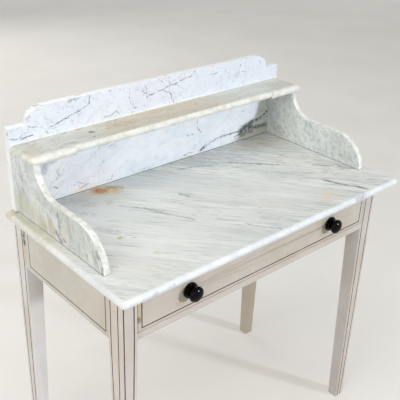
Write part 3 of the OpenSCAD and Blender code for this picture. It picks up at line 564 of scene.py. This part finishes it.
def splash_veins(g, colour, crooked):
    """A web of fine grey veins, fainter under the shelf, and the main dark veins on top."""
    patch = g.rise(g.noise(g.place, 9.0, 3.0, 0.6), 0.46, 0.62)
    upper = g.ramp(g.z, SHELF_LOW.z - 0.02, SHELF_HIGH.z, 0.50, 1.0)
    wide = g.noise(g.turned(crooked, (0, 30, 0), (1, 1, 1.3)), 8.0, 4.0, 0.55)
    colour = g.tint(colour, (124, 130, 146), g.line(wide, 0.50, 0.008), patch, upper, 0.8)
    close = g.noise(g.turned(crooked, (0, -25, 0), (1, 1, 1.2)), 17.0, 4.0, 0.6)
    colour = g.tint(colour, (176, 182, 198), g.line(close, 0.44, 0.016), upper, 0.35)
    colour = g.tint(colour, (140, 146, 162), g.line(close, 0.58, 0.014), patch, upper, 0.6)
    near = NO_VEIN
    for half, points in VEINS:
        away = g.path(crooked, [(px, SPLASH_LOW.y, pz) for px, pz in points])
        near = g.math("MINIMUM", near, g.math("DIVIDE", away, half))
    colour = g.tint(colour, (164, 170, 184), g.fall(near, 1.0, 5.0, 0.22))
    beads = g.ramp(g.noise(g.place, 130.0, 3.0, 0.6), 0.38, 0.56, 0.30, 1.0)
    return g.tint(colour, (54, 58, 68), g.fall(near, 0.8, 2.2, 0.90), beads)


def splash_edges(g, colour, behind):
    """Saw marks and damp on the back, paler chipped edges, and dirt and rust at the foot."""
    sawn = g.grain(g.place, (0, 8, 0), (3, 1, 170))
    colour = g.tint(colour, (204, 204, 196), behind, g.ramp(sawn, 0.35, 0.65, 0.15, 0.6))
    damp = g.noise(g.place, 7.0, 5.0, 0.65)
    colour = g.tint(colour, (196, 188, 170), behind, g.rise(damp, 0.50, 0.66, 0.5))
    edge = g.fall(g.math("ABSOLUTE", g.normal_y), 0.4, 0.8)
    colour = g.tint(colour, (242, 246, 250), edge, 0.6)
    chips = g.noise(g.place, 55.0, 4.0, 0.7)
    colour = g.tint(colour, (156, 136, 116), edge, g.rise(chips, 0.60, 0.68, 0.6))
    dirt = foot_dirt(g, SPLASH_LOW.z)
    colour = g.tint(colour, (110, 102, 88), dirt, 0.6)
    return g.tint(colour, (84, 60, 36), dirt, g.fall(g.x, -0.41, -0.38, 0.8)), dirt


def splash_marble():
    """Blue-white with fine crackle, a few dark veins and a dark flaw at the right."""
    g = Surface("marble_splash")
    crooked = g.warped(g.warped(g.place, 30.0, 0.010), 90.0, 0.009)
    colour = splash_ground(g, crooked)
    colour = g.lay_stains_and_painted_light(colour, crooked, lambda px, pz: (px, SPLASH_LOW.y, pz), SPLASH_STAINS_AND_PAINTED_LIGHT)
    colour = splash_veins(g, colour, crooked)
    behind = g.rise(g.normal_y, 0.4, 0.8)
    colour, dirt = splash_edges(g, colour, behind)
    return polished(g, colour, g.most(dirt, behind))


def shelf_edges(g, colour):
    """Whiter and mottled where it is rounded, greener at the left end, pale by the splashback."""
    flat = g.rise(g.normal_z, 0.90, 0.995)
    front = g.most(g.fall(g.y, SHELF_LOW.y + 0.012, SHELF_LOW.y + 0.019),
                   g.math("SUBTRACT", 1.0, flat))
    mottle = g.rise(g.noise(g.place, 45.0, 5.0, 0.65), 0.38, 0.66)
    pale = g.tint(rgb(237, 236, 230), (216, 216, 207), mottle)
    colour = g.mix(g.times(front, 0.9), colour, pale)
    colour = g.tint(colour, (196, 200, 186),
                    g.fall(g.x, SHELF_LOW.x + 0.004, SHELF_LOW.x + 0.016),
                    g.rise(g.y, SHELF_LOW.y + 0.012, SHELF_LOW.y + 0.030), mottle, 0.85)
    near_back = g.rise(g.y, SPLASH_LOW.y - 0.006, SPLASH_LOW.y - 0.002)
    return g.tint(colour, (236, 236, 230), near_back, 0.7)


def shelf_marble():
    """Cream grey with a tan middle, streaked along its length, and a whiter rounded edge."""
    g = Surface("marble_shelf")
    bed = g.warped(g.warped(g.place, 8.0, 0.04), 40.0, 0.008)
    cloud = g.grain(bed, (0, 0, 6), (9, 26, 20), 5.0, 0.62)
    colour = g.tint(rgb(208, 210, 204), (198, 200, 193), g.rise(cloud, *SOFT))
    middle = g.times(g.rise(g.x, -0.30, -0.16), g.fall(g.x, 0.05, 0.24))
    tan = g.grain(bed, (0, 0, 4), (7, 34, 20), 5.0, 0.65)
    colour = g.tint(colour, (196, 184, 162), middle, g.ramp(tan, 0.36, 0.62, 0.35, 0.75))
    streak = g.grain(bed, (0, 0, 5), (14, 120, 60), 5.0)
    colour = g.tint(colour, (160, 156, 142), g.rise(streak, 0.54, 0.70, 0.40))
    pale = g.grain(bed, (0, 0, 3), (12, 90, 60), 4.0)
    colour = g.tint(colour, (230, 229, 222), g.rise(pale, 0.54, 0.70, 0.25))
    ragged = g.warped(g.warped(g.place, 45.0, 0.022), 160.0, 0.006)
    colour = g.lay_stains_and_painted_light(colour, ragged, lambda px, py: (px, py, SHELF_HIGH.z), SHELF_STAINS)
    crack = g.line(g.noise(bed, 22.0, 4.0, 0.6), 0.50, 0.012)
    colour = g.tint(colour, (142, 140, 134), crack, 0.55)
    return polished(g, shelf_edges(g, colour), middle)


def cheek_ground(g, bed, strength):
    """Mottled grey, with green and lilac in soft patches of the given strength."""
    cloud = g.noise(bed, 20.0, 5.0, 0.65)
    colour = g.tint(rgb(224, 228, 228), (202, 208, 208), g.rise(cloud, *SOFT))
    green = g.noise(bed, 8.0, 3.0)
    colour = g.tint(colour, (208, 213, 202), g.rise(green, 0.48, 0.62, strength))
    lilac = g.noise(g.place, 14.0, 3.0, 0.6)
    return g.tint(colour, (200, 202, 212), g.rise(lilac, 0.52, 0.66, strength))


def cheek_finish(g, colour):
    """A whiter rim, and dirt at the joint with the slab."""
    rim = g.fall(g.math("ABSOLUTE", g.normal_x), 0.5, 0.9)
    mottle = g.noise(g.place, 60.0, 5.0, 0.65)
    cream = g.tint(rgb(240, 241, 237), (218, 218, 208), g.rise(mottle, 0.42, 0.60))
    grey = g.noise(g.place, 50.0, 4.0, 0.65)
    cream = g.tint(cream, (186, 189, 186), g.rise(grey, 0.54, 0.66, 0.6))
    colour = g.mix(g.times(rim, 0.92), colour, cream)
    colour = g.tint(colour, (104, 96, 84), foot_dirt(g, CHEEK_LOW.z), 0.45)
    return polished(g, colour, g.math("SUBTRACT", 1.0, rim))


def left_cheek_marble():
    """Grey-green with upright broken veins, and brown and yellow stains near its foot."""
    g = Surface("marble_cheek_left")
    bed = g.warped(g.warped(g.place, 9.0, 0.05), 50.0, 0.010)
    colour = cheek_ground(g, bed, 0.35)
    colour = g.tint(colour, (224, 230, 240), g.rise(g.z, 0.84, 0.92), 0.35)
    wide = g.grain(bed, (14, 0, 0), (20, 38, 11), 5.0, 0.62)
    colour = g.tint(colour, (178, 185, 182), g.rise(wide, 0.50, 0.66, 0.65))
    vein = g.grain(bed, (12, 0, 0), (10, 24, 8), 4.0)
    colour = g.tint(colour, (146, 152, 146), g.line(vein, 0.50, 0.016), 0.5)
    fine = g.grain(bed, (12, 0, 0), (60, 110, 24), 5.0, 0.65)
    colour = g.tint(colour, (150, 156, 148), g.rise(fine, 0.54, 0.70, 0.65))
    ragged = g.warped(g.warped(g.place, 60.0, 0.016), 180.0, 0.005)
    outer = CHEEK_LOW.x
    colour = g.lay_stains_and_painted_light(colour, ragged, lambda py, pz: (outer, py, pz), LEFT_CHEEK_STAINS)
    return cheek_finish(g, colour)


def right_cheek_marble():
    """Soft grey mottles, with a brown spot at the back of its foot, and painted shade towards the
    back under the shelf.
    """
    g = Surface("marble_cheek_right")
    bed = g.warped(g.warped(g.place, 9.0, 0.05), 50.0, 0.010)
    whiter = g.ramp(g.y, -0.10, 0.10, 0.15, 0.4)
    colour = g.tint(cheek_ground(g, bed, 0.3), (238, 242, 239), whiter)
    vein = g.grain(bed, (30, 0, 0), (10, 16, 12), 5.0, 0.62)
    colour = g.tint(colour, (166, 170, 172), g.line(vein, 0.50, 0.018), 0.35)
    fine = g.grain(bed, (30, 0, 0), (60, 120, 60), 5.0, 0.65)
    colour = g.tint(colour, (156, 163, 159), g.rise(fine, 0.46, 0.68, 0.60))
    # Painted shade: greyer towards the back, under the shelf
    colour = g.tint(colour, (196, 202, 198), g.rise(g.y, 0.02, 0.15), 0.2)
    ragged = g.warped(g.warped(g.place, 40.0, 0.02), 160.0, 0.006)
    inner = -CHEEK_HIGH.x
    colour = g.lay_stains_and_painted_light(colour, ragged, lambda py, pz: (inner, py, pz), RIGHT_CHEEK_STAINS)
    return cheek_finish(g, colour)


# ---- Painted wood ----

def stretch_along(axis, slow, quick):
    """Stretch of a grain that runs along one axis."""
    return tuple(slow if name == axis else quick for name in "xyz")


def in_groove(g, depth):
    return g.within(depth, GROOVE_FROM, GROOVE_TO, GROOVE_SOFT)


def leg_lines(g, front):
    """Mask of a leg's incised lines: those of its side, and for a front leg also its front."""
    from_side = g.math("SUBTRACT", FRAME_X, g.across)
    if front:
        from_end = g.math("SUBTRACT", g.y, FRAME_FRONT)
    else:
        from_end = g.math("SUBTRACT", FRAME_BACK, g.y)
    width = g.ramp(g.z, 0.0, APRON_LOW_Z, LEG_FOOT_W, LEG_TOP_W, smooth=False)
    limit = g.math("SUBTRACT", width, GROOVE_EDGE)

    def lines(depth, along):
        clear = g.times(g.math("GREATER_THAN", along, GROOVE_EDGE),
                        g.math("LESS_THAN", along, limit))
        return g.times(in_groove(g, depth), clear)

    side = lines(from_side, from_end)
    return g.most(side, lines(from_end, from_side)) if front else side


def front_leg_lines(g):
    return leg_lines(g, front=True)


def back_leg_lines(g):
    return leg_lines(g, front=False)


def apron_lines(g):
    return g.times(
        in_groove(g, g.math("SUBTRACT", FRAME_X, g.across)),
        g.within(g.z, APRON_LOW_Z + GROOVE_EDGE, APRON_HIGH_Z - GROOVE_EDGE),
        g.within(g.y, LEG_HIGH.y + GROOVE_EDGE, FRAME_BACK - LEG_TOP_W - GROOVE_EDGE))


def drawer_lines(g):
    return g.times(
        in_groove(g, g.math("SUBTRACT", g.y, FRAME_FRONT)),
        g.math("LESS_THAN", g.across, DRAWER_HIGH.x - GROOVE_EDGE),
        g.within(g.z, DRAWER_LOW.z + GROOVE_EDGE, DRAWER_HIGH.z - GROOVE_EDGE))


def toned_face(g, colour, normal, tone):
    """Multiply the colour of the faces that look towards the low end of the normal's axis; the
    pieces use it to paint light and shade onto one side.
    """
    return g.mix(g.fall(normal, -0.9, -0.6), colour, g.scaled(colour, tone))


def joint_wear_and_lit_front(g, colour):
    """The left back leg's front is lighter and cooler than its side, which is painted light; and
    where the left apron meets that leg the joint is a dark open line in yellowed paint."""
    # Painted light: the faces that look forwards made lighter and cooler
    colour = toned_face(g, colour, g.normal_y, (1.06, 1.09, 1.13))
    joint = FRAME_BACK - LEG_TOP_W
    return g.lay_stains_and_painted_light(colour, g.warped(g.place, 90.0, 0.003),
                     lambda py, pz: (-FRAME_X, joint + py, pz), JOINT_STAINS)


def apron_tone_wear_and_light(g, colour):
    """The side aprons are paler and cooler towards the back and darker towards the front; the left
    back leg's joint wear and painted front light are laid on after.
    """
    tone = g.mix(g.rise(g.y, -0.15, 0.15), (0.92, 0.94, 0.93), (0.99, 1.06, 1.11))
    return joint_wear_and_lit_front(g, g.scaled(colour, tone))


def painted_shade_front(g, colour):
    """The front of the right back leg is darker and yellower than its sides: painted shade."""
    return toned_face(g, colour, g.normal_y, (0.76, 0.73, 0.68))


def painted_cool_inside(g, colour):
    """The right front leg's left face is tinted bluer than its front: painted cool light."""
    return toned_face(g, colour, g.normal_x, (0.95, 1.0, 1.09))


def drawer_wear_and_knob_shadow(g, colour):
    """The left end of the drawer front is yellowed, with a brown spot; beside each knob, where its
    shadow falls, a yellowish patch is partly hand grime and partly painted shadow."""
    left = -DRAWER_HIGH.x
    ragged = g.warped(g.place, 90.0, 0.006)
    ragged_x, _, ragged_z = g.axes(ragged)
    colour = g.tint(colour, (198, 184, 146), g.fall(ragged_x, left + 0.006, left + 0.011),
                    g.rise(ragged_z, 0.660, 0.680), 0.7)
    stains = [((left + 0.002, 0.68), (left + 0.002, 0.675), 0.008, 0.8, (110, 84, 52))]
    # Partly grime, partly painted shadow: a yellowish patch left of and below each knob
    for knob_x in (-KNOB_X, KNOB_X):
        stains.append(((knob_x - 0.022, KNOB_Z + 0.008), (knob_x - 0.024, KNOB_Z - 0.016),
                       0.020, 0.55, (172, 162, 126)))
    return g.lay_stains_and_painted_light(colour, ragged, lambda px, pz: (px, FRAME_FRONT, pz), stains)


def paint(name, along, lines=None, wear_and_light=None, tone=(1.0, 1.0, 1.0)):
    """Pale pinkish-grey satin paint, brushed along the member, with dark incised lines."""
    g = Surface(name)
    patches = g.noise(g.place, 7.0, 4.0, 0.6)
    colour = g.tint(rgb(213, 205, 197), (203, 193, 181), g.rise(patches, 0.32, 0.68))
    pink = g.noise(g.place, 3.0, 2.0)
    colour = g.tint(colour, (210, 196, 190), g.rise(pink, 0.50, 0.70, 0.5))
    brush = g.grain(g.place, (0, 0, 0), stretch_along(along, 5, 150), 4.0)
    colour = g.tint(colour, (190, 178, 164), g.rise(brush, 0.50, 0.75, 0.30))
    dirt = g.noise(g.place, 60.0, 5.0, 0.7)
    colour = g.tint(colour, (168, 152, 132), g.rise(dirt, 0.62, 0.75, 0.30))
    colour = g.scaled(colour, tone)
    # Wear, and on some pieces painted light and shade on one side
    if wear_and_light:
        colour = wear_and_light(g, colour)
    if lines:
        faded = g.ramp(g.noise(g.place, 30.0, 3.0), 0.35, 0.55, 0.85, 1.0)
        colour = g.tint(colour, GROOVE_COLOUR, lines(g), faded)
    waves = g.bump(g.noise(g.place, 18.0, 2.0), 0.0015, 0.2)
    hairs = g.bump(g.grain(g.place, (0, 0, 0), stretch_along(along, 10, 300)), 0.0003, 0.35, waves)
    return g.finish(colour, g.ramp(patches, 0.3, 0.7, 0.38, 0.5), hairs, Specular_IOR_Level=0.35)


# ---- Bare wood, knobs and metal ----

def pine(name, along):
    """Old planed pine with long grain."""
    g = Surface(name)
    rings = g.grain(g.place, (0, 0, 0), stretch_along(along, 2, 22), 3.0, 0.5, 0.3)
    band = g.math("PINGPONG", g.math("MULTIPLY", rings, 9.0), 0.5)
    colour = g.tint(rgb(206, 180, 142), (186, 153, 112), g.rise(band, 0.02, 0.48))
    fibre = g.grain(g.place, (0, 0, 0), stretch_along(along, 24, 264))
    colour = g.tint(colour, (158, 126, 90), g.rise(fibre, 0.5, 0.75, 0.35))
    age = g.noise(g.place, 7.0, 4.0, 0.6)
    colour = g.tint(colour, (150, 130, 104), g.rise(age, 0.45, 0.70, 0.45))
    return g.finish(colour, g.ramp(fibre, 0.3, 0.7, 0.55, 0.75), g.bump(fibre, 0.0004, 0.4))


def black():
    """Black lacquer, glossy, a little rubbed and not quite even."""
    g = Surface("black_lacquer")
    wear = g.noise(g.place, 160.0, 4.0, 0.7)
    colour = g.tint(rgb(3, 3, 4), (14, 13, 12), g.rise(wear, 0.55, 0.8))
    waves = g.bump(g.noise(g.place, 40.0, 2.0), 0.0003, 0.1)
    return g.finish(colour, g.ramp(wear, 0.3, 0.8, 0.07, 0.13), waves, Specular_IOR_Level=0.12)


def metal(name, light, dark, rough):
    """Bare metal, speckled with a darker tone that is also rougher."""
    g = Surface(name)
    spots = g.noise(g.place, 300.0, 4.0, 0.7)
    colour = g.tint(rgb(*light), dark, g.rise(spots, 0.35, 0.7))
    return g.finish(colour, g.ramp(spots, 0.3, 0.8, rough, rough + 0.2),
                    g.bump(spots, 0.0002, 0.3), Metallic=1.0)


# ---- Dressing ----

def dress(material, *names, rounding=0.0):
    """Give pieces their material and, where they are sharp, rounded edges."""
    for name in names:
        piece = NODES[name]
        piece.data.materials.clear()
        piece.data.materials.append(material)
        if rounding:
            weld = piece.modifiers.new("weld", "WELD")
            weld.merge_threshold = WELD_WITHIN
            soft = piece.modifiers.new("soft_edges", "BEVEL")
            soft.width = rounding
            soft.segments = 2
            soft.limit_method = "ANGLE"
            soft.angle_limit = ROUND_ANGLE


def dress_marble():
    dress(slab_marble(), "marble_top")
    dress(shelf_marble(), "shelf")
    dress(splash_marble(), "splashback", rounding=MARBLE_ROUND)
    dress(left_cheek_marble(), "cheek_left", rounding=MARBLE_ROUND)
    dress(right_cheek_marble(), "cheek_right", rounding=MARBLE_ROUND)


def dress_paint():
    for coat, *names in (
            # Left front leg toned paler and cooler: partly its paint, partly painted light from the
            # left
            (paint("paint_leg_front_left", "z", front_leg_lines, tone=(1.08, 1.08, 1.12)),
             "leg_front_left"),
            # Right front leg: its left face painted cooler, as painted light
            (paint("paint_leg_front_right", "z", front_leg_lines, painted_cool_inside),
             "leg_front_right"),
            # Left back leg toned paler and cooler: partly its paint, partly painted light from the
            # left
            (paint("paint_leg_back_left", "z", back_leg_lines, joint_wear_and_lit_front, (1.12, 1.18, 1.26)),
             "leg_back_left"),
            # Right back leg toned darker and yellower all over, and its front more so: painted
            # shade
            (paint("paint_leg_back_right", "z", back_leg_lines, painted_shade_front, (1.0, 0.98, 0.88)),
             "leg_back_right"),
            (paint("paint_aprons", "y", apron_lines, apron_tone_wear_and_light),
             "side_apron_left", "side_apron_right"),
            (paint("paint_rails", "x"),
             "back_apron", "top_rail", "lower_rail"),
            (paint("paint_drawer", "x", drawer_lines, drawer_wear_and_knob_shadow, (0.98, 0.97, 0.93)),
             "drawer_front")):
        dress(coat, *names, rounding=WOOD_ROUND)


def dress_rest():
    dress(pine("pine_deep", "y"), "runner_left", "runner_right", "kicker_left", "kicker_right",
          "guide_left", "guide_right", "centre_bearer", "drawer_side_left", "drawer_side_right",
          rounding=WOOD_ROUND)
    dress(pine("pine_wide", "x"), "drawer_stops", "drawer_back", "drawer_bottom",
          rounding=WOOD_ROUND)
    dress(black(), "knob_left", "knob_right")
    dress(metal("iron", (120, 114, 108), (70, 62, 56), 0.45), "splash_pins", "cheek_pins",
          "shelf_pins", "frame_screws", "drawer_nails", "knob_screws")
    dress(metal("brass", (190, 155, 90), (120, 90, 48), 0.3), "gallery_screws")


# ---- Stage ----

def add(name, data):
    piece = bpy.data.objects.new(name, data)
    bpy.context.scene.collection.objects.link(piece)
    return piece


def make_camera():
    data = bpy.data.cameras.new("camera")
    data.lens = CAM_LENS
    data.sensor_width = CAM_SENSOR
    camera = add("camera", data)
    back = Vector((math.sin(CAM_AZIMUTH) * math.cos(CAM_ELEVATION),
                   -math.cos(CAM_AZIMUTH) * math.cos(CAM_ELEVATION), math.sin(CAM_ELEVATION)))
    roll = Quaternion((0, 0, 1), CAM_ROLL)
    camera.rotation_mode = "QUATERNION"
    camera.rotation_quaternion = (-back).to_track_quat("-Z", "Y") @ roll
    camera.location = CAM_AT
    bpy.context.scene.camera = camera


def seen(g):
    """1 for rays that see a surface directly, in a reflection or through glass."""
    path = g.node("ShaderNodeLightPath")
    return g.most(path.outputs["Is Camera Ray"], path.outputs["Is Glossy Ray"],
                  path.outputs["Is Transmission Ray"])


def make_floor():
    """A pale floor that keeps the shadow; its glow is seen but lights nothing."""
    half = FLOOR_HALF
    mesh = bpy.data.meshes.new("floor")
    mesh.from_pydata([(-half, -half, 0), (half, -half, 0), (half, half, 0), (-half, half, 0)],
                     [], [(0, 1, 2, 3)])
    floor = add("floor", mesh)
    floor.location.z = -FLOOR_DROP
    g = Surface("floor")
    patches = g.noise(g.place, 2.0, 4.0)
    colour = g.tint(rgb(218, 216, 212), (214, 212, 208), g.rise(patches, 0.3, 0.7))
    mesh.materials.append(g.finish(colour, 0.8, Specular_IOR_Level=0.1))
    glow = g.node("ShaderNodeEmission")
    g.put(glow.inputs["Color"], colour)
    away = g.vector("LENGTH", g.place, out=1)
    g.put(glow.inputs["Strength"],
          g.times(seen(g), g.ramp(away, GLOW_FROM, GLOW_TO, FLOOR_GLOW, FAR_GLOW)))
    both = g.node("ShaderNodeAddShader")
    g.put(both.inputs[0], g.shader.outputs[0])
    g.put(both.inputs[1], glow.outputs[0])
    g.put(g.out.inputs["Surface"], both.outputs[0])


def area_light(name, at, size, power, colour, spread=180):
    """A round lamp that points at the object; spread is in degrees."""
    data = bpy.data.lights.new(name, "AREA")
    data.shape = "DISK"
    data.size = size
    data.energy = power
    data.color = colour
    data.spread = math.radians(spread)
    lamp = add(name, data)
    lamp.location = at
    lamp.rotation_mode = "QUATERNION"
    lamp.rotation_quaternion = (Vector(LAMP_AIM) - Vector(at)).to_track_quat("-Z", "Y")


def make_light():
    """Broad warm light from the left, above and behind; a small cool key at the front right."""
    area_light("left", (-3.4, -0.5, 1.7), 3.2, 38, WARM)
    area_light("left_high", (-2.8, -1.0, 3.0), 3.4, 42, WARM)
    area_light("top", (-0.4, -0.6, 3.6), 2.4, 30, WARM)
    area_light("back", (1.0, 4.6, 2.4), 3.0, 45, WARM)
    area_light("key", (3.5, -6.7, 2.5), 0.8, 70, COOL, spread=90)


def make_world():
    """Dim where it lights, and brighter where it is seen."""
    world = bpy.data.worlds.new("world")
    bpy.context.scene.world = world
    world.use_nodes = True
    g = Graph(world.node_tree)
    sky = g.tree.nodes["Background"]
    g.put(sky.inputs["Color"], rgb(*WORLD_COLOUR))
    g.put(sky.inputs["Strength"],
          g.ramp(seen(g), 0.0, 1.0, WORLD_LIGHT, WORLD_SEEN, smooth=False))


bpy.context.scene.view_settings.view_transform = "Standard"
make_camera()
make_floor()
make_light()
make_world()
dress_marble()
dress_paint()
dress_rest()
